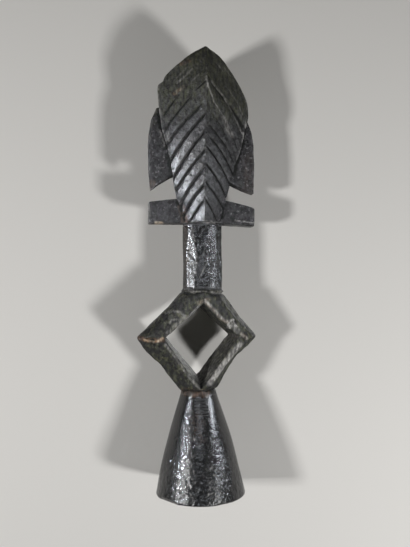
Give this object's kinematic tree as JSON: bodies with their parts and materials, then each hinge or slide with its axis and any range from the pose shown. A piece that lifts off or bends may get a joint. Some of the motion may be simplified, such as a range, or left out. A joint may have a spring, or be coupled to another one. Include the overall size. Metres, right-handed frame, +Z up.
{
  "type": "kota reliquary figure",
  "caption": "Carved wooden reliquary figure: keeled head with chevrons and wings, neck, open lozenge and conical foot, standing upright.",
  "frame": {"origin": "middle of the foot's underside, on the surface that the figure stands on", "axes": "+Z up from the foot to the tip of the head, the chevron face looks along -Y, +X to the right as seen from the front"},
  "size_m": [0.111, 0.0864, 0.4],
  "materials": {
    "patinated_wood": "hand carved hardwood under a dark, partly glossy patina, dull and greenish on the crown and lozenge, thick and shiny on the neck and foot"
  },
  "bodies": {
    "root": {"reliquary_figure": "patinated_wood"}
  },
  "joints": []
}
